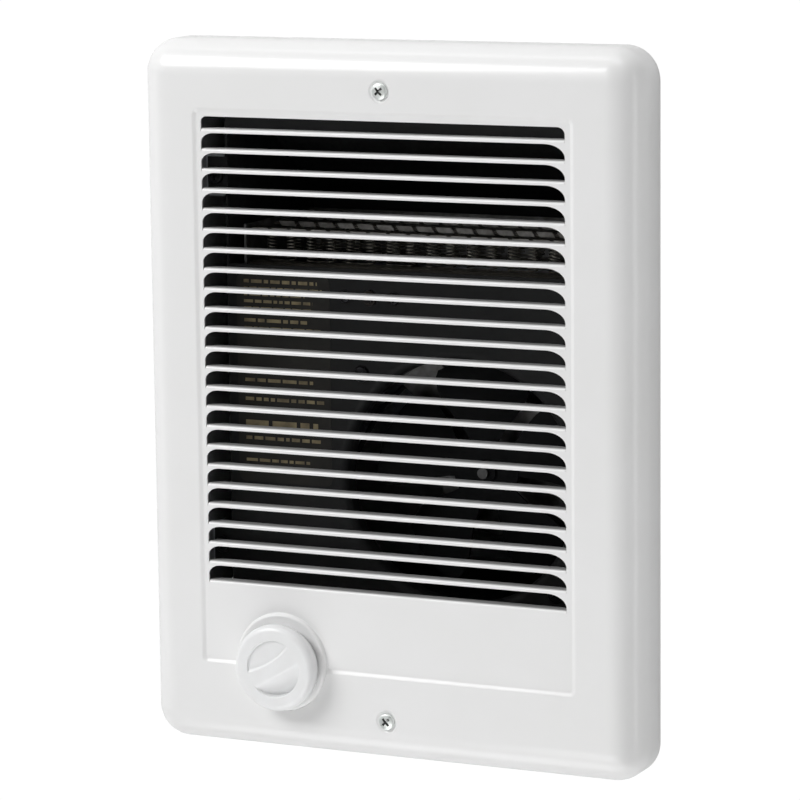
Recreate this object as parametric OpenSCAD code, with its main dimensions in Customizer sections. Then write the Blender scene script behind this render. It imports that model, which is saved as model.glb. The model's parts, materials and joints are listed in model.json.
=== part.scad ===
// Recessed electric fan heater for a wall: louvred cover, wall can, heater chassis, element, fan and motor,
// knob thermostat, manual-reset limit and internal leads.
// Finished frame: origin at the centre of the cover on the wall plane, front towards -Y, +Z up.
// Every module is written facing forward: x to the right, y up, z out of the wall, and facing() turns it.

/* [Cover] */
// Width of the cover
cover_w = 228.6; // [222:0.2:236]
// Height of the cover
cover_h = 304.8; // [300:0.2:312]
// Depth of the cover from the wall to its face
cover_d = 25.4; // [24:0.2:27]
// Radius of the drawn edge and of the corners
cover_edge_r = 14.5; // [12:0.5:15]
// Thickness of the cover's steel sheet
cover_sheet = 0.9; // [0.8:0.1:1]
// Width of the recessed panel
panel_w = 173.6; // [172:0.2:175]
// Height of the panel's top edge over the centre
panel_top = 123; // [122.5:0.1:124]
// Height of the panel's bottom edge under the centre
panel_bottom = -115.4; // [-116:0.2:-115]
// Depth of the recessed panel
panel_recess = 0.6; // [0.4:0.1:0.8]
// Height of the top cover screw
top_screw_up = 132.8; // [132:0.2:134]
// Height of the bottom cover screw
bottom_screw_up = -134.2; // [-135:0.2:-133]

/* [Louvres] */
// Number of louvre slots
louvre_count = 24; // [20:1:24]
// Height of one slot and one blade
louvre_pitch = 8.46; // [8.4:0.02:8.46]
// Width of a slot
louvre_w = 166.4; // [160:0.4:168]
// Top edge of the first slot
first_slot_top = 120.3; // [120:0.1:121]
// Top edge of the second slot
second_slot_top = 113.3; // [113:0.1:113.6]
// Upright height of a blade's front
blade_front_h = 0.85; // [0.7:0.05:1]
// Outer bend radius of a blade
blade_bend_r = 1.2; // [1.1:0.1:2.4]
// Straight depth of a blade behind its bend
blade_depth = 4.8; // [4.2:0.1:6]

/* [Knob] */
// Knob axis to the right of the centre
knob_x = -48.5; // [-50:0.5:-46]
// Knob axis above the centre
knob_up = -113.5; // [-114:0.5:-113]
// Largest radius of the knob
knob_r = 18.6; // [17:0.2:19.4]
// Height of the knob in front of its pad
knob_h = 8.4; // [7:0.2:10]
// Radius of the raised pad round the knob
pad_r = 22.5; // [21.5:0.5:24]
// Radius of the thermostat's shaft
knob_shaft_r = 3; // [2.8:0.1:3.2]

/* [Wall can] */
// Width of the can
can_w = 197; // [195:0.5:199]
// Height of the can
can_h = 251; // [249:0.5:252]
// Depth of the can in the wall
can_d = 92; // [91.5:0.5:100]
// Thickness of the can's sheet
can_sheet = 0.9; // [0.8:0.1:1]
// Radius of a cable knockout
knockout_r = 11.1; // [10.8:0.1:11.2]

/* [Chassis] */
// Depth of the front plate's face behind the wall plane
plate_in = 5; // [5:0.5:6]
// Thickness of the chassis sheet
plate_t = 1; // [0.8:0.1:1]
// Top edge of the front plate
plate_top = 54; // [50:1:54]
// Radius of the fan orifice
orifice_r = 52.5; // [51:0.5:53]
// Fan axis to the right of the centre
fan_x = 20.5; // [20:0.5:21]
// Fan axis above the centre
fan_up = -35.5; // [-36:0.5:-35]

/* [Fan and motor] */
// Number of fan blades
blade_count = 5; // [3:1:6]
// Radius of the fan
fan_r = 49; // [45:0.5:49]
// Pitch angle of a fan blade
fan_pitch = 26; // [20:1:28]
// Radius of the motor shaft
motor_shaft_r = 2.38; // [2.3:0.02:2.4]
// Radius of the motor's rotor
rotor_r = 14; // [13:0.2:14]

/* [Element] */
// Number of upright coils in one row
coil_columns = 16; // [8:1:16]
// Distance between two coils
coil_pitch = 9.4; // [9:0.1:9.4]
// Number of coil rows from front to back
coil_rows = 3; // [1:1:3]
// Outer radius of a coil
coil_r = 2.2; // [1.8:0.1:2.4]

/* [Hidden] */
$fn = 48;

over = 0.5;                                  // how far a cutter runs past the face it cuts
dimple_depth = 0.5;
dimple_r = 5.4;
panel_front = cover_d - panel_recess;
slot_half = louvre_w / 2;
pad_front = cover_d + 0.8;
knob_base = pad_front + 0.5;
knob_front = knob_base + knob_h;
knob_recess_r = 12.2;
knob_floor = knob_front - 1.8;
can_centre_up = (top_screw_up + bottom_screw_up) / 2;
can_floor_up = can_centre_up - can_h / 2;
can_roof_up = can_centre_up + can_h / 2;
ear_up = 16;
ear_half = 18;
ear_r = 5;
flap_w = 14;
field_depth = 0.6;                           // how far the can's back is pressed in
field_half = 75;
field_bottom = -79;
field_top = 99;
entry_x = 60;
entry_out = -62;
back_entry_x = 45;
entry_edge = 14;                             // from a shut entry's axis to the can's floor
stud_hole_up = 90;
stud_hole_outs = [-25, -75];
ground_x = 40;
ground_out = -35;
cover_screw_r = 2.05;
chassis_half = 88;
wall_back = -90;
plate_front = -plate_in;
plate_back = plate_front - plate_t;
plate_bottom = -122;
chassis_roof = 122;
lug_ups = [-70, 92];
lug_x = 92.5;
lug_screw_r = 1.7;
floor_up = -96.5;
grommet_x = -72;
grommet_out = -45;
grommet_r = 6;
lip_r = 4;
limit_x = -20;
limit_up = 42;
limit_screw_x = 11.5;
fan_out = -35;
fan_disc_r = 15;
strap_angle = 135;
strap_leg = 58;
strap_foot = 63;
strap_w = 20;
strap_front = -51.8;
strap_t = 1.2;
motor_screw_x = 24;
stator_front = -56;
stator_t = 18;
stator_back = stator_front - stator_t;
air_gap = 0.3;
coil_bottom = 55;
coil_top = 67.5;
row_front = -14;
row_pitch = 26;
strip_half_depth = 4.5;
frame_half = 80;
frame_bottom = 51.5;
frame_top = 71;
frame_front = -8;
frame_back = -75;
lower_strip_up = 53.5;
upper_strip_up = 68;
terminal_up = 61;
terminal_xs = [-60, -40];

// ---------- helpers ----------

module facing() {
    rotate([90, 0, 0]) children();
}

// Runs a section along x: the section's x is up, and its y is out of the wall.
module along_x(length) {
    translate([-length / 2, 0, 0]) rotate([90, 0, 90]) linear_extrude(length) children();
}

// Runs a section along the upright: the section's x is right, and its y is out of the wall.
module along_up(length) {
    rotate([90, 0, 0]) linear_extrude(length, center = true) children();
}

module at(x, up, out) {
    translate([x, up, out]) children();
}

// A box given by its lowest and highest corners.
module block(low, high) {
    translate(low) cube(high - low);
}

// A round bar or a hole along the way out of the wall, between two depths.
module bar(r, from, to) {
    translate([0, 0, min(from, to)]) cylinder(h = abs(to - from), r = r);
}

function arc(centre, rx, ry, from, to, steps) =
    [for (i = [0 : steps]) let (a = from + (to - from) * i / steps)
        [centre.x + rx * cos(a), centre.y + ry * sin(a)]];

function rounded_points(w, h, r, steps = 5) = concat(
    arc([w / 2 - r, h / 2 - r], r, r, 0, 90, steps),
    arc([-w / 2 + r, h / 2 - r], r, r, 90, 180, steps),
    arc([-w / 2 + r, -h / 2 + r], r, r, 180, 270, steps),
    arc([w / 2 - r, -h / 2 + r], r, r, 270, 360, steps));

module rounded_plate(w, h, r, t) {
    linear_extrude(t) polygon(rounded_points(w, h, r));
}

// A pan-head screw that points into the wall: its head stands on the plane z = 0.
module pan_screw(head_r, head_h, shank_r, length, recess_r) {
    difference() {
        rotate_extrude() polygon(concat(
            [[0, head_h]],
            arc([head_r - 1.1, head_h - 1.1], 1.1, 1.1, 90, 0, 5),
            [[head_r, 0], [0, 0]]));
        for (turn = [0, 90]) {
            rotate(turn) block([-recess_r, -0.35, head_h - 1.3], [recess_r, 0.35, head_h + over]);
        }
    }
    bar(shank_r, 0, -length);
}

// ---------- cover ----------

// Section of the drawn edge and side wall: x is out from the corner's centre, y is out of the wall.
module edge_section() {
    translate([0, cover_d - cover_edge_r]) intersection() {
        difference() {
            circle(cover_edge_r);
            circle(cover_edge_r - cover_sheet);
        }
        square(2 * cover_edge_r);
    }
    translate([cover_edge_r - cover_sheet, 0]) square([cover_sheet, cover_d - cover_edge_r]);
}

module cover_skirt() {
    across = cover_w - 2 * cover_edge_r;
    upright = cover_h - 2 * cover_edge_r;
    for (side = [0, 1]) {
        mirror([0, side, 0]) at(0, upright / 2, 0) along_x(across) edge_section();
        mirror([side, 0, 0]) at(across / 2, 0, 0) along_up(upright) edge_section();
    }
    for (corner = [[1, 1, 0], [-1, 1, 90], [-1, -1, 180], [1, -1, 270]]) {
        at(corner.x * across / 2, corner.y * upright / 2, 0)
            rotate(corner[2]) rotate_extrude(angle = 90) edge_section();
    }
}

module panel_sheet(grow, front) {
    at(0, (panel_top + panel_bottom) / 2, front - cover_sheet)
        rounded_plate(panel_w + 2 * grow, panel_top - panel_bottom + 2 * grow, 2 + grow, cover_sheet);
}

function slot_top(k) = k == 0 ? first_slot_top : second_slot_top - louvre_pitch * (k - 1);
function slot_bottom(k) = second_slot_top - louvre_pitch * k + blade_front_h;

// A slot's outline: square bottom corners, and top corners rounded more at the right than at the left.
function slot_points(k) =
    let (top = slot_top(k), first = k == 0,
         left_w = first ? 2.5 : 6, left_h = first ? 2.5 : 4,
         right_w = first ? 3.5 : 9, right_h = first ? 3 : 5.6)
    concat(
        [[-slot_half, slot_bottom(k)], [slot_half, slot_bottom(k)]],
        arc([slot_half - right_w, top - right_h], right_w, right_h, 0, 90, 7),
        arc([-slot_half + left_w, top - left_h], left_w, left_h, 90, 180, 5));

module louvre_slot(k) {
    at(0, 0, panel_front - cover_sheet - over) linear_extrude(cover_sheet + 2 * over)
        polygon(slot_points(k));
}

// The strip that was cut from a slot, bent into the cover round the slot's bottom edge.
module louvre_blade(k) {
    blade_half = slot_half - 0.2;
    bend_out = panel_front - blade_bend_r;
    at(0, slot_bottom(k), bend_out) along_x(2 * blade_half) intersection() {
        difference() {
            circle(blade_bend_r);
            circle(blade_bend_r - cover_sheet);
        }
        square(2 * blade_bend_r);
    }
    at(0, slot_bottom(k) + blade_bend_r - cover_sheet / 2, bend_out) along_up(cover_sheet) polygon(concat(
        [[-blade_half, 0]],
        arc([-blade_half + 6, -blade_depth + 4], 6, 4, 180, 270, 5),
        arc([blade_half - 6, -blade_depth + 4], 6, 4, 270, 360, 5),
        [[blade_half, 0]]));
}

// The raised pad round the knob, pressed out of the sheet.
module knob_pad() {
    rotate_extrude() polygon(concat(
        [[5, pad_front]],
        arc([pad_r - 1.2, pad_front - 1.2], 1.2, 1.2, 90, 0, 5),
        [[pad_r, panel_front - cover_sheet], [pad_r - cover_sheet, panel_front - cover_sheet],
         [pad_r - cover_sheet, pad_front - cover_sheet], [5, pad_front - cover_sheet]]));
}

module cover() color("white") facing() {
    difference() {
        union() {
            cover_skirt();
            difference() {
                at(0, 0, cover_d - cover_sheet) linear_extrude(cover_sheet)
                    square([cover_w - 2 * cover_edge_r, cover_h - 2 * cover_edge_r], center = true);
                panel_sheet(0, cover_d);
            }
            difference() {
                panel_sheet(1, panel_front);
                for (k = [0 : louvre_count - 1]) {
                    louvre_slot(k);
                }
            }
            for (k = [0 : louvre_count - 1]) {
                louvre_blade(k);
            }
        }
        at(knob_x, knob_up, 0) bar(pad_r - cover_sheet, panel_front - 2, cover_d + 2);
        for (up = [top_screw_up, bottom_screw_up]) {
            at(0, up, 0) bar(dimple_r - 0.1, cover_d - 2, cover_d + 1);
        }
    }
    at(knob_x, knob_up, 0) knob_pad();
    for (up = [top_screw_up, bottom_screw_up]) {
        at(0, up, cover_d) screw_dimple();
    }
}

// The dimple that a cover screw's head sits in, pressed into the sheet round the screw's hole.
module screw_dimple() {
    rotate_extrude() polygon([
        [2.4, -dimple_depth], [4.3, -dimple_depth], [dimple_r, 0], [dimple_r, -cover_sheet],
        [dimple_r - 0.5, -cover_sheet - dimple_depth], [2.4, -cover_sheet - dimple_depth]]);
}

module cover_screws() color("silver") facing() {
    for (up = [top_screw_up, bottom_screw_up]) {
        at(0, up, cover_d - dimple_depth) pan_screw(4.1, 2.2, cover_screw_r, cover_d + 6, 2.4);
    }
}

// ---------- knob ----------

module knob_shell() {
    rotate_extrude() polygon(concat(
        [[0, knob_floor - 1.6], [0, knob_floor], [knob_recess_r - 0.6, knob_floor]],
        [[knob_recess_r + 0.4, knob_front - 0.3], [knob_recess_r + 1, knob_front]],
        arc([knob_r - 4, knob_front - 4], 3.7, 4, 90, 0, 7),
        [[knob_r, knob_base], [knob_r - 1.8, knob_base], [knob_r - 2.2, knob_front - 4.4]],
        [[knob_recess_r + 1, knob_floor - 1.6]]));
}

// The grip: a wedge that drops steeply on its upper left side and slopes away on its lower right side.
module knob_grip() {
    intersection() {
        bar(knob_recess_r, knob_floor - 0.5, knob_front + 0.6);
        rotate(30) at(0, 0, 0) along_x(3 * knob_recess_r)
            polygon([[1.6, knob_floor - 0.4], [1.2, knob_front + 0.4], [-1.4, knob_front + 0.4],
                     [-9.5, knob_floor], [-9.5, knob_floor - 0.4]]);
    }
}

// A round bar with a flat, for the shaft and for the hole that takes it.
module flatted_bar(r, from, to) {
    intersection() {
        bar(r, from, to);
        block([-2 * r, -2 * r, from - 1], [2 * r, r - 1.5, to + 1]);
    }
}

module knob() color("white") facing() at(knob_x, knob_up, 0) {
    difference() {
        union() {
            knob_shell();
            knob_grip();
            bar(5.5, knob_base + 0.4, knob_floor - 1);
        }
        flatted_bar(knob_shaft_r + 0.05, knob_base - 1, knob_floor - 1.2);
    }
}

// ---------- wall can ----------

// Round pieces at the cable entries that stay shut: one in the floor, one at the left and two in the back.
module can_knockouts(r, from, to) {
    at(entry_x, can_floor_up, entry_out) rotate([90, 0, 0]) bar(r, from, to);
    at(-can_w / 2, can_floor_up + entry_edge, entry_out) rotate([0, -90, 0]) bar(r, from, to);
    for (x = [-back_entry_x, back_entry_x]) {
        at(x, can_floor_up + entry_edge, -can_d) rotate([180, 0, 0]) bar(r, from, to);
    }
}

// A strip of the can's sheet on the wall plane that takes a cover screw.
module can_ear() {
    at(0, -2, -can_sheet) linear_extrude(can_sheet) polygon(concat(
        [[ear_half, 0]],
        arc([ear_half - ear_r, ear_up + 2 - ear_r], ear_r, ear_r, 0, 90, 6),
        arc([-ear_half + ear_r, ear_up + 2 - ear_r], ear_r, ear_r, 90, 180, 6),
        [[-ear_half, 0]]));
}

// The holes for the cables: one that is open in the floor, and the ones that stay shut.
module can_holes() {
    at(-entry_x, can_floor_up, entry_out) rotate([90, 0, 0]) bar(knockout_r, -can_sheet - over, over);
    can_knockouts(knockout_r, -can_sheet - over, over);
}

// The can's roof, back and floor, folded from one sheet, with an ear at the top and at the bottom.
module wall_can() color("lightgray") facing() {
    inner_half = can_w / 2 - can_sheet;
    difference() {
        union() {
            difference() {
                block([-inner_half, can_floor_up, -can_d], [inner_half, can_roof_up, 0]);
                block([-can_w, can_floor_up + can_sheet, -can_d + can_sheet],
                      [can_w, can_roof_up - can_sheet, over]);
            }
            at(0, can_roof_up, 0) can_ear();
            at(0, can_floor_up, 0) rotate(180) can_ear();
            block([-field_half - 1, field_bottom - 1, -can_d + can_sheet / 2],
                  [field_half + 1, field_top + 1, -can_d + can_sheet + field_depth]);
        }
        block([-field_half, field_bottom, -can_d - over], [field_half, field_top, -can_d + field_depth]);
        for (up = [top_screw_up, bottom_screw_up]) {
            at(0, up, 0) bar(cover_screw_r + 0.05, -can_sheet - over, over);
        }
        can_holes();
        at(ground_x, can_floor_up, ground_out) rotate([90, 0, 0]) bar(1.95, -can_sheet - over, over);
    }
}

// A side of the can: its edges are folded over the roof and the floor and spot welded to them.
module can_side(side) {
    difference() {
        mirror([side, 0, 0]) at(0, can_centre_up, 0) {
            block([can_w / 2 - can_sheet, -can_h / 2, -can_d], [can_w / 2, can_h / 2, 0]);
            for (turn = [0, 1]) {
                mirror([0, turn, 0]) side_flap();
            }
        }
        can_holes();
        // screw holes to the stud, four in each side
        for (up = [-stud_hole_up, stud_hole_up]) {
            for (out = stud_hole_outs) {
                at(-can_w, can_centre_up + up, out) rotate([0, 90, 0]) bar(2.5, 0, 2 * can_w);
            }
        }
    }
}

module side_flap() {
    difference() {
        block([can_w / 2 - flap_w, can_h / 2, -can_d + 1], [can_w / 2, can_h / 2 + can_sheet, -1]);
        for (out = [-78, -46, -14]) {
            at((can_w - flap_w) / 2, can_h / 2 + can_sheet, out) rotate([-90, 0, 0]) bar(2.4, -0.25, over);
        }
    }
}

module can_left_side() color("lightgray") facing() can_side(1);

module can_right_side() color("lightgray") facing() can_side(0);

// Four tabs spot welded inside the can, which take the chassis screws.
module can_tabs() color("lightgray") facing() {
    wall = can_w / 2 - can_sheet;
    for (side = [0, 1]) {
        mirror([side, 0, 0]) for (up = lug_ups) {
            difference() {
                union() {
                    block([chassis_half + 1, up - 9, plate_back - plate_t], [wall, up + 9, plate_back]);
                    block([wall - plate_t, up - 9, plate_back - 12], [wall, up + 9, plate_back]);
                }
                at(lug_x, up, 0) bar(lug_screw_r + 0.05, plate_back - plate_t - over, plate_back + over);
            }
        }
    }
}

module knockout_slugs() color("lightgray") facing() {
    can_knockouts(knockout_r - 0.12, -can_sheet, 0);
}

module ground_screw() color("green") facing() {
    at(ground_x, can_floor_up + can_sheet, ground_out) rotate([-90, 0, 0]) pan_screw(4.4, 2.4, 1.9, 4, 2.6);
}

// ---------- chassis ----------

module orifice_lip() {
    at(fan_x, fan_up, 0) rotate_extrude() {
        translate([orifice_r + lip_r, plate_front - lip_r]) intersection() {
            difference() {
                circle(lip_r);
                circle(lip_r - plate_t);
            }
            translate([-2 * lip_r, 0]) square(2 * lip_r);
        }
        translate([orifice_r, plate_front - lip_r - 5]) square([plate_t, 5]);
    }
}

module chassis() color("dimgray") facing() {
    difference() {
        union() {
            block([-chassis_half, plate_bottom, plate_back], [chassis_half, plate_top, plate_front]);
            block([-chassis_half, 112, plate_back], [chassis_half, chassis_roof, plate_front]);
            block([-chassis_half, chassis_roof - plate_t, -25], [chassis_half, chassis_roof, plate_front]);
            for (side = [0, 1]) {
                mirror([side, 0, 0]) {
                    block([chassis_half - plate_t, floor_up - plate_t, wall_back],
                          [chassis_half, chassis_roof, plate_front]);
                    for (up = lug_ups) {
                        block([chassis_half - plate_t, up - 8, plate_back], [lug_x + 4, up + 8, plate_front]);
                    }
                }
            }
        }
        at(fan_x, fan_up, 0) bar(orifice_r + lip_r, plate_back - over, plate_front + over);
        at(knob_x, knob_up, 0) bar(4.9, plate_back - over, plate_front + over);
        at(limit_x, limit_up, 0) bar(3.5, plate_back - over, plate_front + over);
        for (side = [-1, 1]) {
            at(limit_x + side * limit_screw_x, limit_up, 0) bar(1.6, plate_back - over, plate_front + over);
            at(fan_x, fan_up, 0) rotate(strap_angle) at(side * strap_foot, 0, 0)
                bar(2.1, plate_back - over, plate_front + over);
            for (up = lug_ups) {
                at(side * lug_x, up, 0) bar(2.1, plate_back - over, plate_front + over);
            }
        }
    }
    orifice_lip();
}

module chassis_screws() color("silver") facing() {
    for (x = [-lug_x, lug_x]) {
        for (up = lug_ups) {
            at(x, up, plate_front) pan_screw(3.6, 2, lug_screw_r, 8, 2);
        }
    }
}

module plenum_floor() color("dimgray") facing() {
    inner = chassis_half - plate_t;
    difference() {
        union() {
            block([-inner, floor_up - plate_t, wall_back], [inner, floor_up, plate_back]);
            block([-inner, floor_up - plate_t, wall_back], [inner, floor_up + 10, wall_back + plate_t]);
        }
        at(grommet_x, floor_up, grommet_out) rotate([90, 0, 0]) bar(grommet_r, -over, plate_t + over);
        at(50, floor_up, -35) rotate([90, 0, 0]) bar(1.75, -over, plate_t + over);
    }
}

module floor_grommet() color("black") facing() {
    at(grommet_x, floor_up - plate_t / 2, grommet_out) rotate([90, 0, 0]) rotate_extrude() polygon([
        [4.7, -2.4], [7.4, -2.4], [7.8, -2], [7.8, -0.55], [grommet_r - 0.05, -0.55],
        [grommet_r - 0.05, 0.55], [7.8, 0.55], [7.8, 2], [7.4, 2.4], [4.7, 2.4]]);
}

module air_deflector() color("dimgray") facing() {
    along_x(2 * (chassis_half - plate_t - 0.3)) polygon([
        [60, -89], [76, -89], [117.6, -36], [120.4, -8],
        [119.4, -7.9], [116.7, -35.5], [75.6, -88], [60, -88]]);
}

module rating_label() color("black") facing() {
    at(-61.2, 4.5, plate_front) rounded_plate(44.6, 91, 3, 0.2);
}

// ---------- element ----------

function coil_x(i) = (i - (coil_columns - 1) / 2) * coil_pitch;
function row_out(j) = row_front - row_pitch * j;

module element_frame() color("silver") facing() {
    difference() {
        union() {
            for (side = [0, 1]) {
                mirror([side, 0, 0]) {
                    block([frame_half, frame_bottom, frame_back], [frame_half + 1, frame_top, frame_front]);
                    block([frame_half, frame_bottom, frame_back],
                          [chassis_half - plate_t, frame_bottom + 1, frame_front]);
                }
            }
            block([-frame_half - 1, frame_bottom, frame_front - 11],
                  [frame_half + 1, frame_bottom + 1, frame_front]);
            block([-frame_half - 1, frame_bottom, frame_back],
                  [frame_half + 1, frame_top, frame_back + 1]);
        }
        for (x = terminal_xs) {
            at(x, terminal_up, 0) bar(4, frame_back - 1, frame_back + 2);
        }
    }
}

module element_strips() color("tan") facing() {
    for (j = [0 : coil_rows - 1]) {
        for (up = [lower_strip_up, upper_strip_up]) {
            block([-frame_half, up, row_out(j) - strip_half_depth],
                  [frame_half, up + 1, row_out(j) + strip_half_depth]);
        }
    }
}

module element_clips() color("silver") facing() {
    for (j = [0 : coil_rows - 1]) {
        for (i = [0 : coil_columns - 1]) {
            at(coil_x(i) - 2.8, upper_strip_up - 0.6, row_out(j) + strip_half_depth) linear_extrude(0.7)
                polygon([[-4.4, 2.2], [2.9, 2.2], [4.4, 0], [-2.9, 0]]);
        }
    }
}

module heating_coils() color("silver") facing() {
    for (j = [0 : coil_rows - 1]) {
        for (i = [0 : coil_columns - 1]) {
            at(coil_x(i), coil_top, row_out(j)) rotate([90, 0, 0]) bar(coil_r, 0, coil_top - coil_bottom);
        }
        for (i = [0 : coil_columns - 2]) {
            at(coil_x(i) + coil_r - 0.4, i % 2 == 0 ? coil_top - 0.8 : coil_bottom + 0.8, row_out(j))
                rotate([0, 90, 0]) bar(0.5, 0, coil_pitch - 2 * coil_r + 0.8);
        }
    }
}

module element_terminals() color("ivory") facing() {
    for (x = terminal_xs) {
        at(x, terminal_up, 0) {
            bar(3.95, -78, -72);
            block([-3.2, -0.4, -84], [3.2, 0.4, -77]);
        }
    }
}

// ---------- thermostat ----------

module thermostat_case() color("saddlebrown") facing() at(knob_x, knob_up, 0) {
    difference() {
        union() {
            at(0, 0, plate_back - 21) rounded_plate(34, 17.6, 2, 21);
            bar(4.7, plate_back - 1, 1);
        }
        bar(knob_shaft_r + 0.05, -20, 2);
    }
}

module thermostat_shaft() color("silver") facing() at(knob_x, knob_up, 0) {
    bar(knob_shaft_r, -19.5, knob_base - 4);
    flatted_bar(knob_shaft_r, knob_base - 4.2, knob_floor - 1.6);
}

module thermostat_nut() color("silver") facing() at(knob_x, knob_up, 0) {
    difference() {
        at(0, 0, plate_front) cylinder(h = 2.4, r = 7.4, $fn = 6);
        bar(4.75, plate_front - over, plate_front + 3);
    }
}

module thermostat_bimetal() color("goldenrod") facing() at(knob_x, knob_up, 0) {
    block([20, -4, -25], [20.6, 4, -8]);
    at(17, 0, -12) rotate([0, 90, 0]) bar(1.6, 0, 4.6);
}

module thermostat_terminals() color("gold") facing() at(knob_x, knob_up, 0) {
    for (side = [-1, 1]) {
        block([side * 9 - 3.15, -0.4, plate_back - 29], [side * 9 + 3.15, 0.4, plate_back - 21]);
    }
}

// ---------- manual-reset limit ----------

module limit_case() color("dimgray") facing() at(limit_x, limit_up, 0) {
    difference() {
        union() {
            bar(8, plate_back - 11.5, plate_back - 1);
            bar(3.2, plate_back - 2, plate_front + 0.6);
        }
        bar(2.04, plate_back - 10, plate_front + 2);
    }
}

module limit_bracket() color("silver") facing() at(limit_x, limit_up, 0) {
    difference() {
        at(0, 0, plate_back - 1) rounded_plate(31, 10, 3, 1);
        bar(3.3, plate_back - 2, plate_back + 1);
        for (side = [-1, 1]) {
            at(side * limit_screw_x, 0, 0) bar(1.5, plate_back - 2, plate_back + 1);
        }
    }
}

module limit_screws() color("black") facing() {
    for (side = [-1, 1]) {
        at(limit_x + side * limit_screw_x, limit_up, plate_front) pan_screw(2.7, 1.5, 1.45, 6, 1.5);
    }
}

module limit_terminals() color("gold") facing() at(limit_x, limit_up, 0) {
    for (side = [-1, 1]) {
        block([side * 4 - 0.4, -3.15, plate_back - 19], [side * 4 + 0.4, 3.15, plate_back - 11.5]);
    }
}

module reset_button() color("black") facing() at(limit_x, limit_up, 0) {
    bar(2, plate_back - 8, plate_front + 3);
}

// ---------- fan ----------

// One blade's flat outline, from the hub along x, with its tip cut round by the fan's radius.
function blade_points() = concat(
    [[9, -5], [20, -10]],
    arc([38, -2], 18, 19, -100, -20, 6),
    arc([40, 8], 14, 13, 0, 90, 5),
    [[26, 17], [12, 6]]);

module fan_blades() color("dimgray") facing() at(fan_x, fan_up, fan_out) {
    difference() {
        union() {
            bar(fan_disc_r, -0.6, 0.6);
            intersection() {
                bar(fan_r, -12, 12);
                union() {
                    for (i = [0 : blade_count - 1]) {
                        rotate(360 / blade_count * i + 20) rotate([fan_pitch, 0, 0])
                            at(0, 0, -0.6) linear_extrude(1.2) polygon(blade_points());
                    }
                }
            }
        }
        bar(5, -13, 13);
    }
}

module fan_hub() color("gold") facing() at(fan_x, fan_up, 0) {
    difference() {
        union() {
            bar(7, -45, -35.6);
            bar(4.9, -36, -33);
        }
        bar(motor_shaft_r + 0.02, -46, -32);
        at(0, 0, -41.5) rotate([0, 90, 0]) bar(1.6, 0, 8);
    }
}

module fan_set_screw() color("black") facing() at(fan_x, fan_up, -41.5) {
    difference() {
        rotate([0, 90, 0]) bar(1.55, motor_shaft_r + 0.03, 6.8);
        rotate([0, 90, 0]) cylinder(h = 8, r = 0.8, $fn = 6);
    }
}

// ---------- motor ----------

module motor_shaft() color("silver") facing() at(fan_x, fan_up, 0) {
    bar(motor_shaft_r, -86, -30.5);
}

module motor_rotor() color("gray") facing() at(fan_x, fan_up, 0) {
    difference() {
        bar(rotor_r, stator_back + 1, stator_front - 1);
        bar(motor_shaft_r + 0.02, stator_back, stator_front);
    }
}

module motor_stator() color("gray") facing() at(fan_x, fan_up, stator_back) {
    linear_extrude(stator_t) difference() {
        translate([-30, -27]) square([60, 84]);
        circle(rotor_r + air_gap);
        translate([-18, 19]) square([36, 26]);
        for (side = [-1, 1]) {
            translate([side * motor_screw_x, 0]) circle(2.2);
        }
    }
}

module coil_bobbin() color("ivory") facing() at(fan_x, fan_up, (stator_front + stator_back) / 2) {
    difference() {
        union() {
            block([-17.5, 37.5, -16], [-16, 64.5, 16]);
            block([16, 37.5, -16], [17.5, 64.5, 16]);
            block([-17, 43.8, -10.2], [17, 58.2, 10.2]);
        }
        block([-19, 44.9, -9.1], [19, 57.1, 9.1]);
    }
}

module coil_winding() color("chocolate") facing() at(fan_x, fan_up, (stator_front + stator_back) / 2) {
    difference() {
        at(0, 51, 0) rotate([0, 90, 0]) linear_extrude(31.8, center = true)
            polygon(rounded_points(29, 25, 5));
        block([-19, 43.7, -10.3], [19, 58.3, 10.3]);
    }
}

module bearing_bracket() {
    difference() {
        union() {
            at(0, 0, 0) rounded_plate(60, 15, 5, 3);
            bar(8.2, 0, 8);
        }
        bar(5.02, 1, 9);
        bar(3.4, -1, 2);
        for (side = [-1, 1]) {
            at(side * motor_screw_x, 0, 0) bar(2.1, -1, 4);
        }
    }
}

module front_bearing_bracket() color("lightgray") facing() {
    at(fan_x, fan_up, stator_front) bearing_bracket();
}

module rear_bearing_bracket() color("lightgray") facing() {
    at(fan_x, fan_up, stator_back) rotate([0, 180, 0]) bearing_bracket();
}

module bearing() {
    difference() {
        bar(5, 1, 7.4);
        bar(motor_shaft_r + 0.04, 0, 9);
    }
}

module front_bearing() color("peru") facing() {
    at(fan_x, fan_up, stator_front) bearing();
}

module rear_bearing() color("peru") facing() {
    at(fan_x, fan_up, stator_back) rotate([0, 180, 0]) bearing();
}

module motor_screws() color("silver") facing() {
    for (side = [-1, 1]) {
        at(fan_x + side * motor_screw_x, fan_up, 0) {
            at(0, 0, strap_front) pan_screw(3.8, 2.2, 2, 28, 2.2);
            at(0, 0, stator_back - 5.6) difference() {
                cylinder(h = 2.6, r = 4.2, $fn = 6);
                bar(1.6, -1, 4);
            }
        }
    }
}

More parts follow.
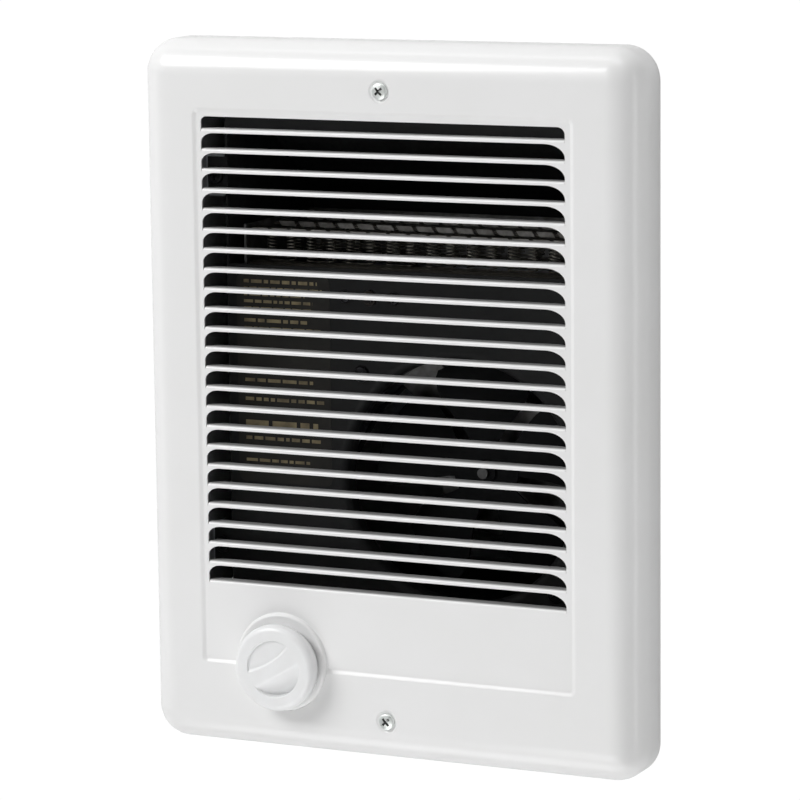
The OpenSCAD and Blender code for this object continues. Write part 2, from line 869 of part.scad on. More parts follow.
// The strap that carries the motor behind the orifice, with two legs to the front plate.
module motor_strap() color("silver") facing() at(fan_x, fan_up, 0) {
    difference() {
        union() {
            rotate(strap_angle) along_up(strap_w) polygon([
                [-strap_foot - 5, plate_back], [-strap_leg, plate_back],
                [-strap_leg, strap_front], [strap_leg, strap_front],
                [strap_leg, plate_back], [strap_foot + 5, plate_back],
                [strap_foot + 5, plate_back - strap_t], [strap_leg + strap_t, plate_back - strap_t],
                [strap_leg + strap_t, strap_front - strap_t], [-strap_leg - strap_t, strap_front - strap_t],
                [-strap_leg - strap_t, plate_back - strap_t], [-strap_foot - 5, plate_back - strap_t]]);
            bar(31, strap_front - strap_t, strap_front);
        }
        bar(8.6, strap_front - 2, strap_front + 1);
        for (side = [-1, 1]) {
            at(side * motor_screw_x, 0, 0) bar(2.1, strap_front - 2, strap_front + 1);
            rotate(strap_angle) at(side * strap_foot, 0, 0) bar(1.75, plate_back - 2, plate_back + 1);
        }
    }
}

module strap_screws() color("black") facing() at(fan_x, fan_up, plate_front) {
    for (side = [-1, 1]) {
        rotate(strap_angle) at(side * strap_foot, 0, 0) pan_screw(3.4, 1.8, 1.7, 7, 2);
    }
}

// ---------- leads ----------

lead_r = 1.4;
lead_sides = 8;

// Catmull-Rom curve through hand-placed points, two rings to a span.
function spline_point(a, b, c, d, t) =
    0.5 * (2 * b + (c - a) * t + (2 * a - 5 * b + 4 * c - d) * t * t
    + (3 * b - a - 3 * c + d) * t * t * t);

function spline(p) = [
    for (i = [0 : len(p) - 2]) for (s = [0 : 2])
        spline_point(p[max(i - 1, 0)], p[i], p[i + 1], p[min(i + 2, len(p) - 1)], s / 3),
    p[len(p) - 1]];

function unit(v) = v / norm(v);

function tangent(q, i) = unit(q[min(i + 1, len(q) - 1)] - q[max(i - 1, 0)]);

// Each ring's first direction is the last ring's, made square to the new tangent, so the tube doesn't twist.
function frames(q, i = 0, n = [0.31, 0.42, 0.85]) =
    let (t = tangent(q, i), u = unit(n - (n * t) * t))
    i == len(q) - 1 ? [[u, cross(t, u)]] : concat([[u, cross(t, u)]], frames(q, i + 1, u));

module lead(points, r = lead_r) {
    q = spline(points);
    f = frames(q);
    rings = len(q);
    verts = [for (i = [0 : rings - 1]) for (k = [0 : lead_sides - 1]) let (a = 360 * k / lead_sides)
        q[i] + r * (cos(a) * f[i][0] + sin(a) * f[i][1])];
    sides = [for (i = [0 : rings - 2]) for (k = [0 : lead_sides - 1])
        let (b = i * lead_sides, n = (k + 1) % lead_sides)
        [b + k, b + lead_sides + k, b + lead_sides + n, b + n]];
    first = [for (k = [0 : lead_sides - 1]) k];
    last = [for (k = [lead_sides - 1 : -1 : 0]) (rings - 1) * lead_sides + k];
    polyhedron(verts, concat([first], sides, [last]), convexity = 6);
}

line_route = [
    [-39.5, -113.5, -35.1], [-39.5, -113.5, -37], [-39.5, -113.5, -39], [-36, -113, -47],
    [-20, -112, -52], [0, -112, -50], [14, -112, -46.4], [21, -112, -46]];
limit_route = [
    [-57.5, -113.5, -35.1], [-57.5, -113.5, -36.6], [-57.5, -113.5, -38.2], [-62, -111, -41.5],
    [-68, -107.5, -42.4], [-72, -102, -42.6], [-72, -97, -42.6], [-72, -92, -42.6], [-76, -78, -42],
    [-78, -30, -40], [-70, 20, -32], [-45, 38, -31], [-27, 42, -31], [-24, 42, -28], [-24, 42, -25.1]];
element_route = [
    [-16, 42, -25.1], [-16, 42, -29], [-18, 43, -38], [-22, 43, -60], [-33, 46, -80],
    [-38.4, 53, -82], [-38.4, 57, -82], [-38.4, 60.5, -82]];
neutral_route = [
    [-60, 60.5, -82], [-60, 57, -82], [-62, 52, -82], [-70, 43, -80], [-80, 10, -70], [-80, -60, -58],
    [-77, -84, -49], [-74, -92, -46.6], [-74, -97, -46.6], [-74, -102, -46.6],
    [-68, -110, -54], [-30, -111, -66], [12, -111, -62.2], [21, -111, -62.2]];
motor_live_route = [
    [2.7, 20, -75.7], [-2, 20, -76], [-10, 22, -80], [-24, 30, -85], [-36, 42, -86.4],
    [-41.9, 53, -84.5], [-41.9, 57, -82.8], [-41.9, 60.5, -82.4]];
motor_neutral_route = [
    [2.7, 12, -75.7], [-2, 12, -76], [-14, 8, -80], [-50, -20, -76], [-66, -70, -57],
    [-69.8, -90, -47.4], [-69.8, -97, -47], [-69.8, -102, -47],
    [-62, -109, -50], [-34, -116.5, -56], [12, -114, -60], [21, -114, -60]];
ground_route = [[46.4, -123.6, -36], [53, -119, -38], [55, -110, -38], [50, -102, -35], [50, -96, -35]];

module wire_connectors() color("orange") facing() {
    for (out = [-46, -61]) {
        at(20, -112.5, out) rotate([0, 90, 0]) rotate_extrude() polygon([
            [0, 4], [4.6, 4], [4.6, 0], [5.6, 0], [5.8, 8], [4, 22], [2.6, 24], [0, 24]]);
    }
}

module line_lead() color("black") facing() lead(line_route);
module limit_lead() color("black") facing() lead(limit_route);
module element_lead() color("black") facing() lead(element_route);
module neutral_lead() color("white") facing() lead(neutral_route);
module motor_leads() color("gray") facing() {
    lead(motor_live_route, 1.1);
    lead(motor_neutral_route, 1.1);
}
module ground_lead() color("green") facing() lead(ground_route);

wall_can();
can_left_side();
can_right_side();
can_tabs();
knockout_slugs();
ground_screw();
cover();
cover_screws();
knob();
chassis();
chassis_screws();
plenum_floor();
floor_grommet();
air_deflector();
rating_label();
element_frame();
element_strips();
element_clips();
heating_coils();
element_terminals();
thermostat_case();
thermostat_shaft();
thermostat_nut();
thermostat_bimetal();
thermostat_terminals();
limit_case();
limit_bracket();
limit_screws();
limit_terminals();
reset_button();
fan_blades();
fan_hub();
fan_set_screw();
motor_shaft();
motor_rotor();
motor_stator();
coil_bobbin();
coil_winding();
front_bearing_bracket();
rear_bearing_bracket();
front_bearing();
rear_bearing();
motor_screws();
motor_strap();
strap_screws();
wire_connectors();
line_lead();
limit_lead();
element_lead();
neutral_lead();
motor_leads();
ground_lead();
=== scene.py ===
"""The looks of a recessed wall fan heater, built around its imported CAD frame.

Every piece is made in metres in the frame's own axes. Shapes on the front are written facing forward, in
millimetres: x to the right, up, and out of the wall; place() turns them into the frame.
"""
import json
import math
import random

import bmesh
import bpy
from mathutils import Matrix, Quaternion, Vector
from mathutils.geometry import delaunay_2d_cdt


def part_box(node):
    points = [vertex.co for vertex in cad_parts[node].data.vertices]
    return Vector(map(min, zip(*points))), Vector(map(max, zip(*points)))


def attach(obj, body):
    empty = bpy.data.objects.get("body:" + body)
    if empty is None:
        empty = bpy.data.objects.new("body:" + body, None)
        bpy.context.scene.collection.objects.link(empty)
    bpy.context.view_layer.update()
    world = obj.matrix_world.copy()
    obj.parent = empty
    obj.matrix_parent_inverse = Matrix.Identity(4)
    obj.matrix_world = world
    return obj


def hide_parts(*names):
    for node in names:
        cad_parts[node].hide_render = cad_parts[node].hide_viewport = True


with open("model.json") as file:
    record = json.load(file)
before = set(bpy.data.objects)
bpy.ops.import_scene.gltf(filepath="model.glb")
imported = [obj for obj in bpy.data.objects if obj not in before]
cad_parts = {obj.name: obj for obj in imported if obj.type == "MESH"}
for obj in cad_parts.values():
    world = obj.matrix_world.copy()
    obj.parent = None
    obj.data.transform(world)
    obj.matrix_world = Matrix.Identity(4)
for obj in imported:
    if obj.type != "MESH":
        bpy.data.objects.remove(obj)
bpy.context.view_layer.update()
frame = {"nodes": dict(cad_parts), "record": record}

NODES = frame["nodes"]
MM = 0.001

# ---------- sizes, in millimetres, facing forward ----------

COVER_LOW, COVER_HIGH = (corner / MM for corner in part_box("cover"))
COVER_W = COVER_HIGH.x - COVER_LOW.x
COVER_H = COVER_HIGH.z - COVER_LOW.z
PAD_FRONT = -COVER_LOW.y
FACE = PAD_FRONT - 0.8
EDGE_R = 14.5
SHEET = 0.9
PANEL = FACE - 0.85
PANEL_LEFT = -86.8
PANEL_RIGHT = 85.6
PANEL_TOP = 123
PANEL_BOTTOM = -114.8
PANEL_R = 2
STEP_HALF = 1.2
SCREW_UPS = (132.8, -134.2)
SCREW_HOLE_R = 2.4
SHAFT_HOLE_R = 5
DIMPLE_R = 5.0
DIMPLE_FLAT_R = 4.0
DIMPLE_DEPTH = 0.55

SLOTS = 24
SLOT_PITCH = 8.46
SLOT_MIDDLE = -0.85
SLOT_HALF = 83.2
SECOND_TOP = 113.25
FIRST_TOP = 120.25
BLADE_FRONT = 0.65
BEND_R = 1.2
BLADE_DEPTH = 4.8
TOP_SLOT_LEFT_CORNER = (2.5, 2.5)
TOP_SLOT_RIGHT_CORNER = (3.5, 3)
SLOT_LEFT_CORNER = (6, 4)
SLOT_RIGHT_CORNER = (9, 5.6)

KNOB_X = -48.5
KNOB_UP = -113.5
KNOB_R = 18.6
KNOB_FRONT = -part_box("knob")[0].y / MM
KNOB_BASE = -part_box("knob")[1].y / MM
PAD_X = -49.2
PAD_UP = -112.7
PAD_R = 21.2
FAN_X = 20.5
FAN_UP = -35.5
FAN_OUT = -35


def place(x, up, out):
    """A point of the frame in metres, from millimetres facing forward."""
    return Vector((x, -out, up)) * MM


# ---------- mesh helpers ----------

def mesh_object(name, points, faces, material, smooth=True):
    mesh = bpy.data.meshes.new(name)
    mesh.from_pydata(points, [], faces)
    mesh.validate()
    obj = bpy.data.objects.new(name, mesh)
    bpy.context.scene.collection.objects.link(obj)
    mesh.materials.append(material)
    if smooth:
        mesh.polygons.foreach_set("use_smooth", [True] * len(mesh.polygons))
    return obj


WELD_GAP = 0.004 * MM


def welded(obj):
    """Joins points that lie together and drops faces that have no area."""
    bm = bmesh.new()
    bm.from_mesh(obj.data)
    bmesh.ops.remove_doubles(bm, verts=bm.verts, dist=WELD_GAP)
    bmesh.ops.dissolve_degenerate(bm, dist=WELD_GAP, edges=bm.edges)
    bm.to_mesh(obj.data)
    bm.free()


def applied(obj):
    """Turns the modifiers' result into the mesh itself."""
    graph = bpy.context.evaluated_depsgraph_get()
    mesh = bpy.data.meshes.new_from_object(obj.evaluated_get(graph))
    obj.modifiers.clear()
    obj.data = mesh


def crisp(obj, angle=35):
    """Smooth faces that meet in a sharp edge wherever they turn by more than the angle."""
    mesh = obj.data
    mesh.polygons.foreach_set("use_smooth", [True] * len(mesh.polygons))
    mesh.set_sharp_from_angle(angle=math.radians(angle))


def outward(obj):
    """Turns every face to look outwards."""
    bm = bmesh.new()
    bm.from_mesh(obj.data)
    bmesh.ops.recalc_face_normals(bm, faces=bm.faces)
    bm.to_mesh(obj.data)
    bm.free()


def finished(piece, body, slot, *nodes):
    """Lets a piece ride on its body and stand for CAD nodes, which it hides; the slot is not used."""
    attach(piece, body)
    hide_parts(*nodes)


def arc(x, y, rx, ry, start, end, steps):
    """Points on an elliptical arc about (x, y), from one angle to another in degrees."""
    turns = [math.radians(start + (end - start) * i / steps) for i in range(steps + 1)]
    return [(x + rx * math.cos(t), y + ry * math.sin(t)) for t in turns]


def circle(x, y, r, steps):
    return arc(x, y, r, r, 0, 360, steps)[:-1]


def smoothstep(low, high, value):
    """Rises gently from 0 at low to 1 at high."""
    t = min(max((value - low) / (high - low), 0), 1)
    return t * t * (3 - 2 * t)


def rectangle(left, right, low, high):
    return [(left, low), (right, low), (right, high), (left, high)]


def rounded_rectangle(left, right, low, high, r, steps):
    """Outline, anticlockwise from the lower right; with no radius each corner's points lie together."""
    return (arc(right - r, low + r, r, r, -90, 0, steps) + arc(right - r, high - r, r, r, 0, 90, steps)
            + arc(left + r, high - r, r, r, 90, 180, steps) + arc(left + r, low + r, r, r, 180, 270, steps))


def ring_faces(first, rings, steps):
    """Faces between rings of points, one ring after the other, from the point numbered first."""
    faces = []
    for j in range(rings - 1):
        for i in range(steps):
            a, b = first + j * steps + i, first + j * steps + (i + 1) % steps
            faces.append((a, b, b + steps, a + steps))
    return faces


def grid_faces(first, rows, columns):
    """Faces of a grid of points, row after row, from the point numbered first."""
    faces = []
    for j in range(rows - 1):
        for i in range(columns - 1):
            a = first + j * columns + i
            faces.append((a, a + columns, a + columns + 1, a + 1))
    return faces


def flat_triangles(loops):
    """Points and triangles of a flat face that has every closed outline as mesh lines."""
    points, edges = [], []
    for loop in loops:
        first = len(points)
        points += [Vector(p) for p in loop]
        edges += [(first + i, first + (i + 1) % len(loop)) for i in range(len(loop))]
    flat, _, triangles, *_ = delaunay_2d_cdt(points, edges, [], 0, 1e-4)
    return flat, [tuple(triangle) for triangle in triangles]


# ---------- materials ----------

class Look:
    """A procedural material: base colour, roughness and bump from noise in the object's own space."""

    def __init__(self, name, colour, roughness, metallic=0.0, specular=0.5):
        self.material = bpy.data.materials.new(name)
        self.material.use_nodes = True
        self.tree = self.material.node_tree
        self.shader = self.tree.nodes["Principled BSDF"]
        self.colour = (*colour, 1)
        self.roughness = roughness
        self.shader.inputs["Base Color"].default_value = self.colour
        self.shader.inputs["Roughness"].default_value = roughness
        self.shader.inputs["Metallic"].default_value = metallic
        self.shader.inputs["Specular IOR Level"].default_value = specular
        self.place = self.node("ShaderNodeTexCoord").outputs["Object"]
        self.normal = None

    def node(self, kind, **settings):
        """Adds a node; each setting is one of its properties or the value of one of its inputs."""
        made = self.tree.nodes.new(kind)
        for key, value in settings.items():
            if hasattr(made, key):
                setattr(made, key, value)
            else:
                made.inputs[key].default_value = value
        return made

    def link(self, output, target):
        self.tree.links.new(output, target)

    def noise(self, size_mm, detail=2, stretch=(1, 1, 1)):
        """Noise whose features are about size_mm across, longer along an axis with a small stretch value."""
        mapping = self.node("ShaderNodeMapping")
        mapping.inputs["Scale"].default_value = stretch
        self.link(self.place, mapping.inputs["Vector"])
        made = self.node("ShaderNodeTexNoise", Scale=1 / (size_mm * MM), Detail=detail)
        self.link(mapping.outputs[0], made.inputs["Vector"])
        return made.outputs["Fac"]

    def mottle(self, source, other, low=0.35, high=0.65):
        """Mixes the base colour with another one where the source runs from low to high."""
        ramp = self.node("ShaderNodeMapRange")
        for key, value in (("From Min", low), ("From Max", high)):
            ramp.inputs[key].default_value = value
        mix = self.node("ShaderNodeMix", data_type="RGBA")
        self.link(source, ramp.inputs["Value"])
        self.link(ramp.outputs[0], mix.inputs["Factor"])
        before = self.shader.inputs["Base Color"].links
        if before:
            self.link(before[0].from_socket, mix.inputs[6])
        else:
            mix.inputs[6].default_value = self.colour
        mix.inputs[7].default_value = (*other, 1)
        self.link(mix.outputs[2], self.shader.inputs["Base Color"])
        return self

    def rough(self, source, spread):
        """Lets the roughness wander up and down by the spread."""
        ramp = self.node("ShaderNodeMapRange")
        limits = (("From Min", 0.3), ("From Max", 0.7), ("To Min", self.roughness - spread),
                  ("To Max", self.roughness + spread))
        for key, value in limits:
            ramp.inputs[key].default_value = value
        self.link(source, ramp.inputs["Value"])
        self.link(ramp.outputs[0], self.shader.inputs["Roughness"])
        return self

    def bump(self, source, depth_mm):
        """Raises the surface by the source, on top of any bump before it."""
        made = self.node("ShaderNodeBump", Strength=1.0, Distance=depth_mm * MM)
        self.link(source, made.inputs["Height"])
        if self.normal:
            self.link(self.normal, made.inputs["Normal"])
        self.normal = made.outputs["Normal"]
        self.link(self.normal, self.shader.inputs["Normal"])
        return self

    def coat(self, weight, roughness):
        """Adds a clear gloss on top."""
        self.shader.inputs["Coat Weight"].default_value = weight
        self.shader.inputs["Coat Roughness"].default_value = roughness
        return self


# how far behind the panel's face the painted shade on the tongues starts and where it is full
SLOT_SHADE_FROM = 0.2
SLOT_SHADE_TO = 1.1
SLOT_SPARE = 0.3


def slot_shade_mask(look):
    """Runs from 0 on the panel's face to 1 on the sheet bent back behind its slots; it masks the painted
    shade there.
    """
    parts = look.node("ShaderNodeSeparateXYZ")
    look.link(look.place, parts.inputs[0])
    depth = look.node("ShaderNodeMapRange")
    depth.inputs["From Min"].default_value = -(PANEL - SLOT_SHADE_FROM) * MM
    depth.inputs["From Max"].default_value = -(PANEL - SLOT_SHADE_TO) * MM
    look.link(parts.outputs["Y"], depth.inputs["Value"])
    middle_up = SECOND_TOP - SLOT_PITCH * (SLOTS - 2) / 2
    factor = depth.outputs[0]
    limits = (("X", SLOT_MIDDLE, SLOT_HALF + SLOT_SPARE), ("Z", middle_up, SLOT_PITCH * SLOTS / 2))
    for axis, middle, half in limits:
        within = look.node("ShaderNodeMath", operation="COMPARE")
        look.link(parts.outputs[axis], within.inputs[0])
        within.inputs[1].default_value = middle * MM
        within.inputs[2].default_value = half * MM
        both = look.node("ShaderNodeMath", operation="MULTIPLY")
        look.link(factor, both.inputs[0])
        look.link(within.outputs[0], both.inputs[1])
        factor = both.outputs[0]
    return factor


def powder_coat():
    """White paint, with painted shade that greys the tongues behind the slots."""
    look = Look("white_powder_coat", (0.80, 0.80, 0.80), 0.42)
    look.mottle(look.noise(40, 3), (0.785, 0.785, 0.782))
    # painted shade: grey paint on the tongues behind the slots, where little light reaches
    look.mottle(slot_shade_mask(look), (0.40, 0.40, 0.40), 0, 1)
    look.rough(look.noise(3, 3), 0.05)
    look.bump(look.noise(1.6, 2), 0.012)
    return look.coat(0.35, 0.12).material


def white_plastic():
    look = Look("white_plastic", (0.81, 0.815, 0.82), 0.36)
    look.mottle(look.noise(9, 3), (0.785, 0.788, 0.79))
    look.rough(look.noise(1.2, 3), 0.06)
    look.bump(look.noise(0.5, 3), 0.004)
    return look.coat(0.3, 0.15).material


def painted_steel(name, colour, other, roughness, specular=0.5):
    look = Look(name, colour, roughness, specular=specular)
    look.mottle(look.noise(14, 4), other)
    look.rough(look.noise(2.5, 3), 0.08)
    look.bump(look.noise(0.9, 2), 0.010)
    return look.material


def metal(name, colour, other, roughness, stretch=(1, 1, 1), grain_mm=0.6, depth=0.004):
    look = Look(name, colour, roughness, metallic=1.0)
    look.mottle(look.noise(5, 4), other)
    look.rough(look.noise(grain_mm * 3, 4, stretch), 0.09)
    look.bump(look.noise(grain_mm, 3, stretch), depth)
    return look.material


def galvanised():
    """Zinc spangle: flat crystals some millimetres across, each with its own shade and gloss."""
    look = Look("galvanised_steel", (0.62, 0.64, 0.66), 0.42, metallic=0.85)
    crystal = look.node("ShaderNodeTexVoronoi", Scale=1 / (6 * MM), Randomness=1.0)
    look.link(look.place, crystal.inputs["Vector"])
    grey = look.node("ShaderNodeSeparateColor")
    look.link(crystal.outputs["Color"], grey.inputs[0])
    look.mottle(grey.outputs[0], (0.55, 0.57, 0.595), 0.0, 1.0)
    look.rough(grey.outputs[1], 0.05)
    look.mottle(look.noise(55, 4), (0.56, 0.57, 0.58), 0.45, 0.75)
    look.bump(look.noise(2.2, 3), 0.008)
    return look.material


def zinc_plate():
    look = Look("zinc_screw", (0.80, 0.83, 0.81), 0.34, metallic=0.55)
    look.mottle(look.noise(5, 4), (0.72, 0.755, 0.73))
    look.rough(look.noise(1.8, 4), 0.08)
    look.bump(look.noise(0.6, 3), 0.004)
    return look.material


def plastic(name, colour, other, roughness):
    look = Look(name, colour, roughness)
    look.mottle(look.noise(7, 3), other)
    look.rough(look.noise(1.5, 3), 0.06)
    look.bump(look.noise(0.5, 2), 0.006)
    return look.material


def mica_sheet():
    look = Look("mica", (0.085, 0.078, 0.062), 0.42)
    look.mottle(look.noise(6, 5, (1, 3, 3)), (0.045, 0.040, 0.032))
    look.bump(look.noise(1.0, 4, (1, 4, 4)), 0.02)
    return look.coat(0.3, 0.2).material


def laminations():
    """The stator's stack of thin sheets, edges outwards, as bands across the motor's depth."""
    look = Look("lamination_steel", (0.20, 0.20, 0.21), 0.5, metallic=0.9)
    sheets = look.node("ShaderNodeTexWave", bands_direction="Y", Scale=1 / (0.5 * MM) / 20, Distortion=0.2)
    look.link(look.place, sheets.inputs["Vector"])
    look.mottle(sheets.outputs["Fac"], (0.09, 0.09, 0.10), 0.2, 0.8)
    look.bump(sheets.outputs["Fac"], 0.05)
    look.mottle(look.noise(9, 4), (0.15, 0.13, 0.12))
    return look.material


# one look for each material slot of the record, and two more: the painted shade in the screws' crosses, and
# label_print
LOOKS = {
    "white_powder_coat": powder_coat(),
    "white_plastic": white_plastic(),
    "galvanised_steel": galvanised(),
    "zinc_screw": zinc_plate(),
    # painted shade: darker zinc for the screws' crosses, where shade falls
    "screw_recess_shade": metal("screw_recess_shade", (0.24, 0.25, 0.24), (0.14, 0.15, 0.14), 0.5),
    "green_screw": painted_steel("green_screw", (0.02, 0.22, 0.07), (0.02, 0.15, 0.05), 0.32),
    "black_paint": painted_steel("black_paint", (0.0165, 0.017, 0.0178), (0.021, 0.0214, 0.0216), 0.5, 0.2),
    "black_screw": metal("black_screw", (0.05, 0.05, 0.055), (0.03, 0.03, 0.03), 0.38),
    "rubber_black": plastic("rubber_black", (0.015, 0.015, 0.016), (0.025, 0.025, 0.025), 0.62),
    "label_film": painted_steel("label_film", (0.027, 0.0262, 0.0245), (0.036, 0.0345, 0.031), 0.42, 0.2),
    "label_print": plastic("label_print", (0.34, 0.28, 0.155), (0.15, 0.12, 0.07), 0.5),
    "aluminised_steel": metal("aluminised_steel", (0.30, 0.30, 0.30), (0.20, 0.195, 0.19), 0.42, (0.1, 1, 1)),
    "mica": mica_sheet(),
    "clip_steel": metal("clip_steel", (0.52, 0.51, 0.49), (0.30, 0.29, 0.27), 0.46),
    "nichrome": metal("nichrome", (0.34, 0.335, 0.295), (0.22, 0.20, 0.175), 0.38),
    "steatite": plastic("steatite", (0.74, 0.70, 0.62), (0.66, 0.62, 0.54), 0.5),
    "phenolic": plastic("phenolic", (0.022, 0.014, 0.009), (0.014, 0.010, 0.007), 0.42),
    "shaft_steel": metal("shaft_steel", (0.17, 0.17, 0.17), (0.12, 0.12, 0.12), 0.42, (1, 0.1, 1),
                         grain_mm=0.3, depth=0.001),
    "bimetal": metal("bimetal", (0.62, 0.55, 0.42), (0.50, 0.45, 0.38), 0.36, (1, 1, 0.1)),
    "brass": metal("brass", (0.72, 0.55, 0.24), (0.58, 0.42, 0.18), 0.30),
    "button_plastic": painted_steel("button_plastic", (0.010, 0.008, 0.008), (0.014, 0.011, 0.010), 0.4, 0.3),
    "fan_black": painted_steel("fan_black", (0.0135, 0.014, 0.0148), (0.017, 0.0174, 0.018), 0.7, 0.02),
    "lamination_steel": laminations(),
    "bobbin_nylon": plastic("bobbin_nylon", (0.72, 0.70, 0.62), (0.66, 0.63, 0.55), 0.44),
    "copper_winding": metal("copper_winding", (0.62, 0.24, 0.09), (0.46, 0.16, 0.06), 0.30),
    "cast_zinc": metal("cast_zinc", (0.50, 0.51, 0.52), (0.40, 0.41, 0.42), 0.46, (1, 1, 1), 0.8, 0.02),
    "bearing_bronze": metal("bearing_bronze", (0.50, 0.31, 0.14), (0.38, 0.23, 0.10), 0.48),
    "connector_orange": plastic("connector_orange", (0.72, 0.17, 0.02), (0.62, 0.13, 0.015), 0.40),
    "lead_black": plastic("lead_black", (0.016, 0.016, 0.017), (0.03, 0.03, 0.03), 0.46),
    "lead_white": plastic("lead_white", (0.70, 0.70, 0.68), (0.60, 0.60, 0.57), 0.46),
    "lead_green": plastic("lead_green", (0.02, 0.24, 0.06), (0.015, 0.17, 0.05), 0.46),
}


# ---------- cover ----------

def panel_distance(x, up):
    """How far a point lies inside the panel's outline; it is negative outside."""
    half_w, half_h = (PANEL_RIGHT - PANEL_LEFT) / 2, (PANEL_TOP - PANEL_BOTTOM) / 2
    dx = abs(x - (PANEL_RIGHT + PANEL_LEFT) / 2) - (half_w - PANEL_R)
    dy = abs(up - (PANEL_TOP + PANEL_BOTTOM) / 2) - (half_h - PANEL_R)
    outside = math.hypot(max(dx, 0), max(dy, 0)) + min(max(dx, dy), 0)
    return PANEL_R - outside


PAD_EDGE_R = 1.2
PAD_FOOT = 0.7


def pad_height(r, base):
    """The pressed pad's section: flat, a rounded shoulder, a steep side and a small foot on the sheet."""
    shoulder = PAD_R - PAD_EDGE_R
    if r <= shoulder:
        return PAD_FRONT
    if r < PAD_R:
        return PAD_FRONT - PAD_EDGE_R + math.sqrt(PAD_EDGE_R ** 2 - (r - shoulder) ** 2)
    foot = min((r - PAD_R) / PAD_FOOT, 1)
    return base + max(PAD_FRONT - PAD_EDGE_R - base, 0.02) * (1 - foot) ** 3


EDGE_STEPS = 16
FACE_RING = 13


def edge_inset(step):
    """How far inside the cover's outline a ring of the drawn edge lies."""
    return EDGE_R * (1 - math.cos(math.radians(90 * step / EDGE_STEPS)))


def cover_outline(inset):
    """The cover's outline drawn in by an inset; past the edge's radius its corners are square points."""
    r = EDGE_R - inset
    outline = rounded_rectangle(-COVER_W / 2 + inset, COVER_W / 2 - inset, -COVER_H / 2 + inset,
                                COVER_H / 2 - inset, max(r, 0), EDGE_STEPS)
    return outline if r > 0.01 else outline[::EDGE_STEPS + 1]


def drawn_edge_drop(x, up):
    """How far the drawn edge has fallen behind the flat face."""
    dx = max(abs(x) - (COVER_W / 2 - EDGE_R), 0)
    dy = max(abs(up) - (COVER_H / 2 - EDGE_R), 0)
    return EDGE_R - math.sqrt(EDGE_R ** 2 - dx ** 2 - dy ** 2)


def face_height(x, up):
    """How far out of the wall the cover's outer face stands."""
    base = FACE - (FACE - PANEL) * smoothstep(-STEP_HALF, STEP_HALF, panel_distance(x, up))
    base -= drawn_edge_drop(x, up)
    for screw in SCREW_UPS:
        base -= DIMPLE_DEPTH * (1 - smoothstep(DIMPLE_FLAT_R, DIMPLE_R, math.hypot(x, up - screw)))
    r = math.hypot(x - PAD_X, up - PAD_UP)
    return pad_height(r, base) if r < PAD_R + PAD_FOOT else base


def slot_top(k):
    return FIRST_TOP if k == 0 else SECOND_TOP - SLOT_PITCH * (k - 1)


def slot_bottom(k):
    return SECOND_TOP - SLOT_PITCH * k + BLADE_FRONT


BLADE_HALF = SLOT_HALF - 0.2
TONGUE_CORNER_W = 6
TONGUE_CORNER_H = 4


def blade_columns():
    """Where a blade's mesh lines cross its width, close together in its rounded ends."""
    ends = [TONGUE_CORNER_W * (1 - q) for q in (1, 0.93, 0.8, 0.62, 0.38, 0)]
    left = [-BLADE_HALF + e for e in ends]
    return [SLOT_MIDDLE + x for x in left + [-x for x in reversed(left)]]


def slot_corners(k):
    """Width and height of a slot's rounded top corners, left and right; the top slot is lower than others."""
    if k == 0:
        return TOP_SLOT_LEFT_CORNER, TOP_SLOT_RIGHT_CORNER
    return SLOT_LEFT_CORNER, SLOT_RIGHT_CORNER


def slot_outline(k):
    top = slot_top(k)
    (left_w, left_h), (right_w, right_h) = slot_corners(k)
    bottom, left, right = slot_bottom(k), SLOT_MIDDLE - SLOT_HALF, SLOT_MIDDLE + SLOT_HALF
    return ([(left, bottom)] + [(x, bottom) for x in blade_columns()] + [(right, bottom)]
            + arc(right - right_w, top - right_h, right_w, right_h, 0, 90, 12)
            + arc(left + left_w, top - left_h, left_w, left_h, 90, 180, 9))


def in_hole(x, up):
    """Whether a point lies in the shaft's hole, a screw's hole or a slot."""
    if math.hypot(x - KNOB_X, up - KNOB_UP) < SHAFT_HOLE_R:
        return True
    if any(math.hypot(x, up - screw) < SCREW_HOLE_R for screw in SCREW_UPS):
        return True
    for k in range(SLOTS):
        if slot_bottom(k) < up < slot_top(k) and abs(x - SLOT_MIDDLE) < SLOT_HALF:
            return not outside_corner(x, up, k)
    return False


def outside_corner(x, up, k):
    """Whether a point in a slot's box lies beyond one of its rounded top corners."""
    left_corner, right_corner = slot_corners(k)
    w, h = right_corner if x > SLOT_MIDDLE else left_corner
    dx, dy = abs(x - SLOT_MIDDLE) - (SLOT_HALF - w), up - (slot_top(k) - h)
    return dx > 0 and dy > 0 and math.hypot(dx / w, dy / h) > 1


